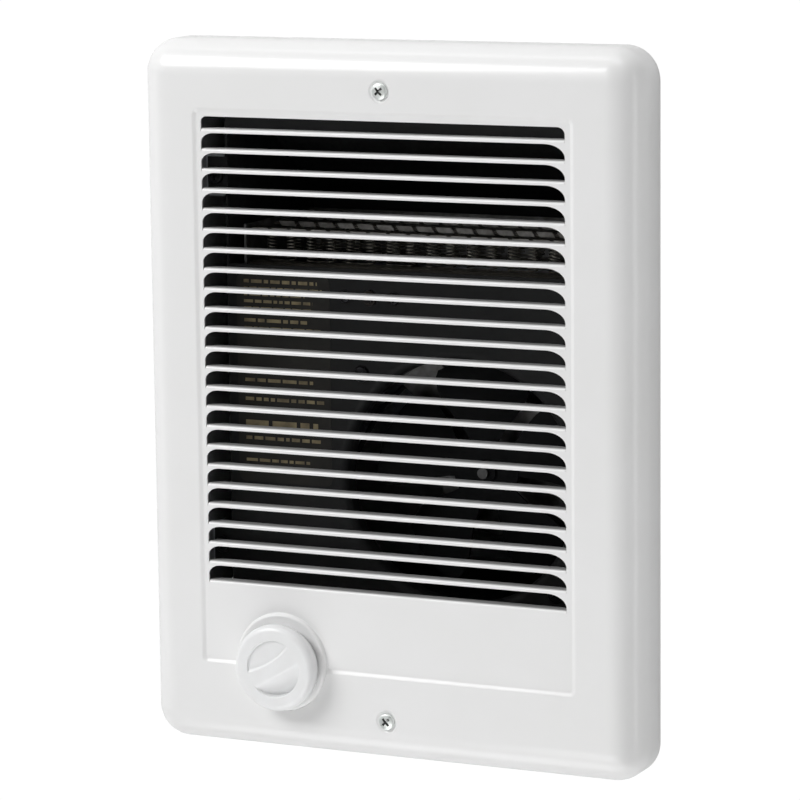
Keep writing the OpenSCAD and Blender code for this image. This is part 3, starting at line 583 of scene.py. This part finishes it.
def cover_face():
    """The front inside the drawn edge, with the panel's step, the knob's pad, the slots and the holes."""
    loops = [cover_outline(edge_inset(i)) for i in range(FACE_RING, EDGE_STEPS + 1)]
    loops.append(cover_outline(EDGE_R + 0.5))
    for i in range(-4, 5):
        d = STEP_HALF * i / 4
        loops.append(rounded_rectangle(PANEL_LEFT + d, PANEL_RIGHT - d, PANEL_BOTTOM + d, PANEL_TOP - d,
                                       PANEL_R - d, 6))
    shoulder = PAD_R - PAD_EDGE_R
    rings = [shoulder - 0.4]
    rings += [shoulder + PAD_EDGE_R * math.sin(math.radians(a)) for a in (0, 20, 40, 60, 78, 90)]
    rings += [PAD_R + PAD_FOOT * f for f in (0.12, 0.3, 0.6, 1)]
    loops += [circle(PAD_X, PAD_UP, r, 96) for r in rings] + [circle(KNOB_X, KNOB_UP, SHAFT_HOLE_R, 32)]
    dimple = [DIMPLE_FLAT_R + (DIMPLE_R - DIMPLE_FLAT_R) * f for f in (0, 0.25, 0.5, 0.75, 1)]
    loops += [circle(0, up, r, 40) for up in SCREW_UPS for r in [SCREW_HOLE_R] + dimple]
    loops += [slot_outline(k) for k in range(SLOTS)]
    flat, triangles = flat_triangles(loops)
    kept = []
    for triangle in triangles:
        centre = sum((flat[i] for i in triangle), Vector((0, 0))) / 3
        if not in_hole(centre.x, centre.y):
            kept.append(triangle)
    return [place(p.x, p.y, face_height(p.x, p.y)) for p in flat], kept


def skirt():
    """The side wall and most of the drawn edge, as rings from the wall plane up to where the front begins."""
    sections = [(0, 0), (0, (FACE - EDGE_R) / 2)]
    for i in range(FACE_RING + 1):
        sections.append((edge_inset(i), FACE - EDGE_R + EDGE_R * math.sin(math.radians(90 * i / EDGE_STEPS))))
    points = []
    for inset, out in sections:
        points += [place(x, up, out) for x, up in cover_outline(inset)]
    return points, ring_faces(0, len(sections), len(points) // len(sections))


def blade(k):
    """The tongue lanced out of slot k, bent back round the slot's bottom edge; its outer face."""
    bend_out = PANEL - BEND_R
    columns = blade_columns()
    rows = [(slot_bottom(k) + BEND_R * math.sin(t), bend_out + BEND_R * math.cos(t))
            for t in (math.radians(90 * i / 8) for i in range(9))]
    points = []
    for x in columns:
        edge = max((abs(x - SLOT_MIDDLE) - (BLADE_HALF - TONGUE_CORNER_W)) / TONGUE_CORNER_W, 0)
        length = BLADE_DEPTH - TONGUE_CORNER_H + TONGUE_CORNER_H * math.sqrt(max(1 - edge * edge, 0))
        points += [place(x, up, out) for up, out in rows]
        points += [place(x, slot_bottom(k) + BEND_R, bend_out - length * f) for f in (0.5, 1)]
    return points, grid_faces(0, len(columns), len(rows) + 2)


def make_cover():
    """The cover's outer face, given the sheet's thickness inwards."""
    points, faces = [], []
    for part_points, part_faces in [skirt(), cover_face()] + [blade(k) for k in range(SLOTS)]:
        first = len(points)
        points += part_points
        faces += [tuple(first + i for i in face) for face in part_faces]
    cover = mesh_object("cover_shell", points, faces, LOOKS["white_powder_coat"])
    welded(cover)
    solid = cover.modifiers.new("sheet", "SOLIDIFY")
    solid.thickness = SHEET * MM
    solid.offset = -1
    solid.use_even_offset = True
    applied(cover)
    crisp(cover)
    weighted = cover.modifiers.new("normals", "WEIGHTED_NORMAL")
    weighted.keep_sharp = True
    finished(cover, "heater", "white_powder_coat", "cover")


# ---------- knob ----------

RECESS_R = 12.2
RECESS_WALL = 0.3
UPPER_DEPTH = 0.9
LOWER_EDGE = 3.1
LOWER_SLOPE = 0.47
GRIP_TURN = math.radians(30)
KNOB_STEPS = 128
SHOULDER_R = 2.8
UNDERCUT = 1.4
FLARE_H = 3.4
INSIDE_TOP = KNOB_FRONT - 5.2
SHAFT_BOSS_R = 5.5
SHAFT_BORE_R = 3.05
BORE_END = KNOB_FRONT - 3.3


def knob_height(x, up):
    """The knob's front inside its rim: a grip, flush with the rim, between a flat and a sloping hollow."""
    r = math.hypot(x, up)
    along = x * math.cos(GRIP_TURN) + up * math.sin(GRIP_TURN)
    across = -x * math.sin(GRIP_TURN) + up * math.cos(GRIP_TURN)
    upper_edge = 2.6 + 2.0 * (along + 2) ** 2 / RECESS_R ** 2
    upper = UPPER_DEPTH * smoothstep(0, 0.9, across - upper_edge)
    below = -across - LOWER_EDGE
    lower = LOWER_SLOPE * (below + math.sqrt(below ** 2 + 0.5)) / 2
    wall = 1 - smoothstep(RECESS_R - RECESS_WALL, RECESS_R + 0.2, r)
    return KNOB_FRONT - max(upper, lower) * wall


def knob_ring(r, height):
    """One ring of points about the knob's axis; its height is a number or a function of the place."""
    points = []
    for x, up in circle(0, 0, r, KNOB_STEPS):
        points.append(place(KNOB_X + x, KNOB_UP + up, height(x, up) if callable(height) else height))
    return points


def make_knob():
    foot_r = KNOB_R - UNDERCUT
    flare = KNOB_BASE + FLARE_H
    rim = [(foot_r - 0.3, KNOB_BASE), (foot_r, KNOB_BASE + 0.3),
           (KNOB_R - 0.25, flare - 0.3), (KNOB_R, flare)]
    shoulder = arc(KNOB_R - SHOULDER_R, KNOB_FRONT - SHOULDER_R, SHOULDER_R, SHOULDER_R, 0, 90, 14)
    face_radii = [RECESS_R + d for d in (1.0, 0.3, 0.15, 0, -0.15, -0.3, -0.6, -1.0)]
    face_radii += [(RECESS_R - 1.0) * (1 - i / 36) for i in range(1, 36)]
    boss_foot = KNOB_BASE + 0.4
    inside = [(foot_r - 1.8, KNOB_BASE), (foot_r - 2, INSIDE_TOP - 0.4), (RECESS_R + 1, INSIDE_TOP),
              (SHAFT_BOSS_R, INSIDE_TOP), (SHAFT_BOSS_R, boss_foot), (SHAFT_BORE_R, boss_foot),
              (SHAFT_BORE_R, BORE_END)]
    points = []
    for r, out in inside[::-1] + rim + shoulder:
        points += knob_ring(r, out)
    for r in face_radii:
        points += knob_ring(r, knob_height)
    rings = len(points) // KNOB_STEPS
    faces = ring_faces(0, rings, KNOB_STEPS)
    faces.append(tuple((rings - 1) * KNOB_STEPS + i for i in range(KNOB_STEPS)))
    faces.append(tuple(KNOB_STEPS - 1 - i for i in range(KNOB_STEPS)))
    knob = mesh_object("knob_cap", points, faces, LOOKS["white_plastic"])
    welded(knob)
    crisp(knob, 50)
    finished(knob, "control", "white_plastic", "knob")


# ---------- cover screws ----------

HEAD_R = 3.55
HEAD_FLAT_R = 2.3
HEAD_H = 1.75
HEAD_SIDE = 0.6
CROSS_ARM = 2.0
CROSS_HALF = 0.5
CROSS_TURN = 43
CROSS_DEPTH = 2.0
CROWN = 0.3
THREAD_PITCH = 1.06
THREAD_ROOT_R = 1.7
THREAD_CREST_R = 2.03
THREAD_RINGS = 170
SCREW_STEPS = 40


def cross_outline(half, arm):
    """A plus sign, anticlockwise, turned the way the screws' crosses stand."""
    points = []
    for quarter in range(4):
        t = math.radians(90 * quarter + CROSS_TURN)
        for x, y in ((arm, -half), (arm, half), (half, half)):
            points.append((x * math.cos(t) - y * math.sin(t), x * math.sin(t) + y * math.cos(t)))
    return points


def cross_reach(x, y):
    """How far a point lies from the screw's middle along and across the nearest arm of its cross."""
    t = math.radians(-CROSS_TURN)
    u, v = abs(x * math.cos(t) - y * math.sin(t)), abs(x * math.sin(t) + y * math.cos(t))
    return max(u, v), min(u, v)


def in_cross(x, y):
    """Whether a point of the head lies over its cross."""
    along, across = cross_reach(x, y)
    return across < CROSS_HALF and along < CROSS_ARM


def head_height(x, y):
    """A pan head's top with a cross sunk in it, deepest in its middle."""
    r = math.hypot(x, y)
    if r < HEAD_FLAT_R:
        top = HEAD_H - CROWN * (r / HEAD_FLAT_R) ** 2
    else:
        past = (r - HEAD_FLAT_R) / (HEAD_R - HEAD_FLAT_R)
        top = HEAD_SIDE + (HEAD_H - CROWN - HEAD_SIDE) * math.sqrt(max(1 - past ** 2, 0))
    along, across = cross_reach(x, y)
    if across < CROSS_HALF - 0.06 and along < CROSS_ARM - 0.08:
        return top - CROSS_DEPTH + 1.2 * along / CROSS_ARM
    return top


def head_top():
    """The head's top face as flat points and triangles."""
    radii = [HEAD_FLAT_R + (HEAD_R - HEAD_FLAT_R) * f for f in (0, 0.3, 0.6, 0.8, 0.93, 1)]
    loops = [circle(0, 0, r, SCREW_STEPS) for r in radii]
    loops += [cross_outline(CROSS_HALF, CROSS_ARM), cross_outline(CROSS_HALF - 0.1, CROSS_ARM - 0.2)]
    return flat_triangles(loops)


def thread_radius(turn, depth):
    """How far the thread's surface is from the axis, at a part of a turn and a depth below the head."""
    phase = (depth / THREAD_PITCH - turn) % 1
    return THREAD_ROOT_R + (THREAD_CREST_R - THREAD_ROOT_R) * abs(2 * phase - 1)


def make_cover_screw(number, up):
    """One cover screw: a pan head with a cross and a threaded shank that reaches the can's ear."""
    base = FACE - DIMPLE_DEPTH
    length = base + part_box("cover_screws")[1].y / MM
    flat, faces = head_top()
    points = [place(p.x, up + p.y, base + head_height(p.x, p.y)) for p in flat]
    first = len(points)
    rings = [(HEAD_R, HEAD_SIDE), (HEAD_R, 0.1), (HEAD_R - 0.1, 0), (THREAD_ROOT_R, 0)]
    rings += [(None, -length * i / THREAD_RINGS) for i in range(1, THREAD_RINGS + 1)] + [(0.9, -length)]
    for r, out in rings:
        for i in range(SCREW_STEPS):
            turn = i / SCREW_STEPS
            reach = r or thread_radius(turn, -out)
            t = 2 * math.pi * turn
            points.append(place(reach * math.cos(t), up + reach * math.sin(t), base + out))
    faces += ring_faces(first, len(rings), SCREW_STEPS)
    faces.append(tuple(len(points) - SCREW_STEPS + i for i in range(SCREW_STEPS)))
    screw = mesh_object(f"cover_screw_{number}", points, faces, LOOKS["zinc_screw"])
    welded(screw)
    outward(screw)
    crisp(screw, 32)
    # painted shade: the faces inside the cross take the darker zinc
    screw.data.materials.append(LOOKS["screw_recess_shade"])
    for face in screw.data.polygons:
        x, up_here = face.center.x / MM, face.center.z / MM - up
        if face.center.y < -base * MM and in_cross(x, up_here):
            face.material_index = 1
    finished(screw, "heater", "zinc_screw", "cover_screws")


# ---------- element, fan and winding ----------

COIL_COLUMNS = 16
COIL_TURNS = 8.5
COIL_R = 2.2
WIRE_R = 0.28
COIL_WIRE_STEPS = 14


def wire(name, paths, r, material):
    """Round wire along each path of points."""
    curve = bpy.data.curves.new(name, "CURVE")
    curve.dimensions = "3D"
    curve.bevel_depth = r * MM
    curve.bevel_resolution = 1
    curve.use_fill_caps = True
    for path in paths:
        spline = curve.splines.new("POLY")
        spline.points.add(len(path) - 1)
        for point, co in zip(spline.points, path):
            point.co = (*co, 1)
    curve.materials.append(material)
    obj = bpy.data.objects.new(name, curve)
    bpy.context.scene.collection.objects.link(obj)
    return obj


def coil_row_path(out, xs, low, high, r):
    """One row's wire: down one coil, across, up the next, and so on."""
    path = []
    for i, x in enumerate(xs):
        start, end = (high, low) if i % 2 == 0 else (low, high)
        steps = int(COIL_TURNS * COIL_WIRE_STEPS)
        for step in range(steps + 1):
            t = 2 * math.pi * COIL_TURNS * step / steps
            up = start + (end - start) * step / steps
            path.append(place(x - r * math.cos(t), up, out + r * math.sin(t)))
    return path


def make_heating_coils():
    """Three rows of standing coils, each row wound from one wire."""
    low, high = (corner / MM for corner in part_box("heating_coils"))
    pitch = (high.x - low.x - 2 * COIL_R) / (COIL_COLUMNS - 1)
    xs = [low.x + COIL_R + pitch * i for i in range(COIL_COLUMNS)]
    front, back = -low.y - COIL_R, -high.y + COIL_R
    rows = (front, (front + back) / 2, back)
    paths = [coil_row_path(out, xs, low.z + WIRE_R, high.z - WIRE_R, COIL_R - WIRE_R) for out in rows]
    coils = wire("coil_wires", paths, WIRE_R, LOOKS["nichrome"])
    finished(coils, "heater", "nichrome", "heating_coils")


FAN_DISC_R = 15
FAN_BORE_R = 5.05
FAN_R = 48.9
FAN_PITCH = 26
FAN_FIRST_TURN = 20
FAN_BLADES = 5
FAN_SHEET = 1.0
FAN_DISH = 1.8
FAN_CROSS_POINTS = 11


def fan_blade_points(turn):
    """A stamped blade as a grid: it twists out of the disc's plane and is dished across its width."""
    radii = [10 + 2.7 * i for i in range(14)] + [47, 48.2, 48.8]
    points = []
    for x in radii:
        reach = math.sqrt(FAN_R ** 2 - x ** 2)
        lean = math.radians(FAN_PITCH) * smoothstep(9, 24, x)
        low = max(-5 - 15 * smoothstep(9, 36, x), -reach)
        high = min(6 + 14 * smoothstep(10, 40, x), reach)
        for j in range(FAN_CROSS_POINTS):
            f = j / (FAN_CROSS_POINTS - 1)
            v = low + (high - low) * f
            dish = FAN_DISH * (1 - (2 * f - 1) ** 2) * smoothstep(12, 26, x)
            y, out = v * math.cos(lean), v * math.sin(lean) + dish
            t = math.radians(turn)
            points.append(place(FAN_X + x * math.cos(t) - y * math.sin(t),
                                FAN_UP + x * math.sin(t) + y * math.cos(t), FAN_OUT + out))
    return points, len(radii)


def make_fan():
    """The fan: its blades and the beaded disc that sits on the hub, each one sheet thick."""
    points, faces = [], []
    for i in range(FAN_BLADES):
        first = len(points)
        blade_points, rows = fan_blade_points(FAN_FIRST_TURN + 360 / FAN_BLADES * i)
        points += blade_points
        faces += grid_faces(first, rows, FAN_CROSS_POINTS)
    first, steps = len(points), 64
    disc = ((FAN_BORE_R, 0), (7.5, 0), (8.5, 0.6), (11, 0.6), (12, 0), (FAN_DISC_R, 0))
    for r, out in disc:
        points += [place(FAN_X + x, FAN_UP + y, FAN_OUT + out) for x, y in circle(0, 0, r, steps)]
    faces += ring_faces(first, len(disc), steps)
    fan = mesh_object("fan_stamping", points, faces, LOOKS["fan_black"])
    sheet = fan.modifiers.new("sheet", "SOLIDIFY")
    sheet.thickness = FAN_SHEET * MM
    sheet.offset = 0
    applied(fan)
    crisp(fan, 40)
    finished(fan, "rotor", "fan_black", "fan_blades")


TURN_R = 0.34


def make_winding():
    """The motor's coil: one layer of turns round the bobbin, from one flange to the other."""
    low, high = (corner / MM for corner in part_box("coil_winding"))
    width = high.x - low.x - 2 * TURN_R
    turns = int(width / (2 * TURN_R))
    up, out = (low.z + high.z) / 2, -(low.y + high.y) / 2
    half_up, half_out = (high.z - low.z) / 2 - TURN_R, (high.y - low.y) / 2 - TURN_R
    loop = rounded_rectangle(-half_up, half_up, -half_out, half_out, 4, 5)
    path = []
    for turn in range(turns):
        for i, (a, b) in enumerate(loop):
            x = low.x + TURN_R + width * (turn + i / len(loop)) / turns
            path.append(place(x, up + a, out + b))
    winding = wire("winding_turns", [path], TURN_R, LOOKS["copper_winding"])
    finished(winding, "heater", "copper_winding", "coil_winding")


# ---------- label ----------

BOX_FACES = ((0, 1, 2, 3), (4, 5, 6, 7), (0, 1, 5, 4), (1, 2, 6, 5), (2, 3, 7, 6), (3, 0, 4, 7))
# how high each line's middle stands, and how tall the line is
PRINT_ROWS = {46.8: 1.5, 43.7: 1.3, 41.1: 1.3, 38.1: 1.3, 35: 1.3, 29.8: 1.5, 26.4: 1.3, 3.7: 1.5, -0.3: 1.5,
              -4.6: 1.5, -9.9: 1.5, -15.2: 2.6, -21.7: 1.5, -27: 1.5, -31.4: 1.3, -35.8: 1.3}


def make_label_print():
    """Ruled bars of gold ink that stand for the label's lines; they spell nothing."""
    low, high = (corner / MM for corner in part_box("rating_label"))
    seed = random.Random(7)
    points, faces = [], []
    for up, tall in PRINT_ROWS.items():
        x, end = low.x + 3.5, high.x - 3 - seed.uniform(0, 9)
        while x < end:
            wide = min(seed.uniform(1.6, 6.5) * tall / 1.4, end - x)
            first = len(points)
            bar = rectangle(x, x + wide, up - tall / 2, up + tall / 2)
            for out in (-low.y - 0.01, -low.y + 0.03):
                points += [place(*corner, out) for corner in bar]
            faces += [tuple(first + i for i in face) for face in BOX_FACES]
            x += wide + 0.7 * tall
    ink = mesh_object("label_lines", points, faces, LOOKS["label_print"], smooth=False)
    outward(ink)
    finished(ink, "heater", "label_film")


# ---------- camera, light and stage, in degrees and metres ----------

VIEW_AZIMUTH = 25.08
VIEW_ELEVATION = 9.30
VIEW_ROLL = -0.64
VIEW_DISTANCE = 1.634
VIEW_TARGET = Vector((-0.0039, 0, -0.0002))
LENS = 173.4


def make_camera():
    """A long lens that sees the cover from the photo's side and height, with its slight roll."""
    data = bpy.data.cameras.new("camera")
    data.sensor_width = 36
    data.lens = LENS
    data.clip_start = 0.05
    data.clip_end = 40
    camera = bpy.data.objects.new("camera", data)
    bpy.context.scene.collection.objects.link(camera)
    a, e = math.radians(VIEW_AZIMUTH), math.radians(VIEW_ELEVATION)
    back = Vector((math.sin(a) * math.cos(e), -math.cos(a) * math.cos(e), math.sin(e)))
    camera.location = VIEW_TARGET + back * VIEW_DISTANCE
    camera.rotation_mode = "QUATERNION"
    roll = Quaternion((0, 0, 1), math.radians(VIEW_ROLL))
    camera.rotation_quaternion = (-back).to_track_quat("-Z", "Y") @ roll
    bpy.context.scene.camera = camera


def area_light(name, direction, distance, width, height, power):
    """A soft box that stands off in a direction from the heater and faces it."""
    data = bpy.data.lights.new(name, "AREA")
    data.energy = power
    data.shape = "RECTANGLE"
    data.size = width
    data.size_y = height
    light = bpy.data.objects.new(name, data)
    away = Vector(direction).normalized()
    light.location = away * distance
    light.rotation_mode = "QUATERNION"
    light.rotation_quaternion = away.to_track_quat("Z", "Y")
    bpy.context.scene.collection.objects.link(light)


def stage_material(name):
    """Matt pale paint."""
    look = Look(name, (0.70, 0.70, 0.70), 0.9)
    look.mottle(look.noise(300, 2), (0.69, 0.69, 0.69))
    return look


def one_sided(look):
    """Lets the camera look through a stage surface from behind."""
    clear = look.node("ShaderNodeBsdfTransparent")
    side = look.node("ShaderNodeNewGeometry")
    mix = look.node("ShaderNodeMixShader")
    look.link(side.outputs["Backfacing"], mix.inputs["Fac"])
    look.link(look.shader.outputs[0], mix.inputs[1])
    look.link(clear.outputs[0], mix.inputs[2])
    look.link(mix.outputs[0], look.tree.nodes["Material Output"].inputs["Surface"])
    return look.material


def glowing(name):
    """White paper lit from behind."""
    look = Look(name, (0, 0, 0), 1.0, specular=0)
    look.shader.inputs["Emission Color"].default_value = (1, 1, 1, 1)
    look.shader.inputs["Emission Strength"].default_value = 1.02
    return one_sided(look)


def camera_only(obj):
    """Hides a stage object from the light, so it neither lights nor shades the heater."""
    obj.visible_diffuse = False
    obj.visible_glossy = False
    obj.visible_transmission = False
    obj.visible_shadow = False


STAGE_REACH = 3.0
DOME_R = 12
FLOOR_LEVEL = -0.6
WALL_LEVEL = 0.0006
UNDER_EDGE = 0.005
CAN_GAP = 0.001


def frame_sheet(name, outer, opening, material):
    """A flat sheet on the wall plane between two rectangles."""
    points = [Vector((x, WALL_LEVEL, z)) for x, z in outer + opening]
    faces = [(i, (i + 1) % 4, 4 + (i + 1) % 4, 4 + i) for i in range(4)]
    return mesh_object(name, points, faces, material, smooth=False)


def make_dome(material):
    bm = bmesh.new()
    bmesh.ops.create_icosphere(bm, subdivisions=3, radius=DOME_R)
    bmesh.ops.reverse_faces(bm, faces=bm.faces)
    mesh = bpy.data.meshes.new("dome")
    bm.to_mesh(mesh)
    bm.free()
    mesh.materials.append(material)
    dome = bpy.data.objects.new("dome", mesh)
    bpy.context.scene.collection.objects.link(dome)
    return dome


def make_stage():
    """A white wall with an opening for the can, a pale floor and a dome, which only the camera sees.

    The light falls on the paint of wall_shade instead, which the camera doesn't see.
    """
    can_low, can_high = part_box("can_left_side")[0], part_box("can_right_side")[1]
    white = glowing("backdrop_white")
    reach = STAGE_REACH
    whole = rectangle(-reach, reach, FLOOR_LEVEL, reach)
    half_w, half_h = COVER_W / 2 * MM - UNDER_EDGE, COVER_H / 2 * MM - UNDER_EDGE
    covered = rectangle(-half_w, half_w, -half_h, half_h)
    opening = rectangle(can_low.x - CAN_GAP, can_high.x + CAN_GAP, can_low.z - CAN_GAP, can_high.z + CAN_GAP)
    wall = frame_sheet("wall", whole, covered, white)
    shade = frame_sheet("wall_shade", whole, covered, stage_material("wall_paint").material)
    shade.visible_camera = False
    hidden = frame_sheet("wall_under_cover", covered, opening, one_sided(stage_material("covered_wall")))
    corners = [Vector((x, y, FLOOR_LEVEL)) for x, y in rectangle(-reach, reach, -reach, reach)]
    floor = mesh_object("floor", corners, [(0, 1, 2, 3)], white, smooth=False)
    dome = make_dome(white)
    for obj in (wall, hidden, floor, dome):
        camera_only(obj)


def make_light():
    """A faint white surround and eight soft boxes."""
    world = bpy.data.worlds.new("studio")
    world.use_nodes = True
    world.node_tree.nodes["Background"].inputs["Color"].default_value = (1, 1, 1, 1)
    world.node_tree.nodes["Background"].inputs["Strength"].default_value = 0.15
    bpy.context.scene.world = world
    area_light("top_box", (-0.05, -0.12, 1), 1.5, 1.6, 0.5, 8.5)
    area_light("high_left_box", (-0.8, -0.9, 0.86), 2.3, 1.2, 1.0, 35.6)
    area_light("front_low_box", (0, -1, -0.7), 2.2, 1.6, 1.0, 16.9)
    area_light("bottom_box", (0, -0.35, -1), 1.5, 1.6, 0.6, 8.9)
    area_light("left_box", (-1, -0.25, 0.1), 2.0, 0.6, 1.6, 2.9)
    area_light("right_box", (1, -0.15, 0.05), 2.0, 0.5, 1.6, 7.1)
    area_light("rear_right_box", (0.8, 1.3, 0.6), 2.2, 1.4, 1.4, 26)
    area_light("rear_left_box", (-1.1, 1.0, 0.5), 2.2, 1.0, 1.4, 16)
    bpy.context.scene.view_settings.view_transform = "Standard"


# ---------- CAD nodes ----------

EDGE_BEVEL = 0.15


def dress_cad_nodes():
    """Every CAD node that still shows gets its finish, smooth shading and slightly rounded edges."""
    slot_of = {part["node"]: part["material_slot"] for part in frame["record"]["subparts"]}
    for name, obj in NODES.items():
        if obj.hide_render:
            continue
        obj.data.materials.clear()
        obj.data.materials.append(LOOKS[slot_of[name]])
        is_lead = name.endswith(("lead", "leads"))
        crisp(obj, 50 if is_lead else 30)
        if not is_lead:
            edge = obj.modifiers.new("edges", "BEVEL")
            edge.width = EDGE_BEVEL * MM
            edge.segments = 2
            edge.limit_method = "ANGLE"
            edge.angle_limit = math.radians(50)
            edge.harden_normals = True


make_camera()
make_light()
make_stage()
make_cover()
make_knob()
for screw_number, screw_up in enumerate(SCREW_UPS, 1):
    make_cover_screw(screw_number, screw_up)
make_heating_coils()
make_fan()
make_winding()
make_label_print()
dress_cad_nodes()
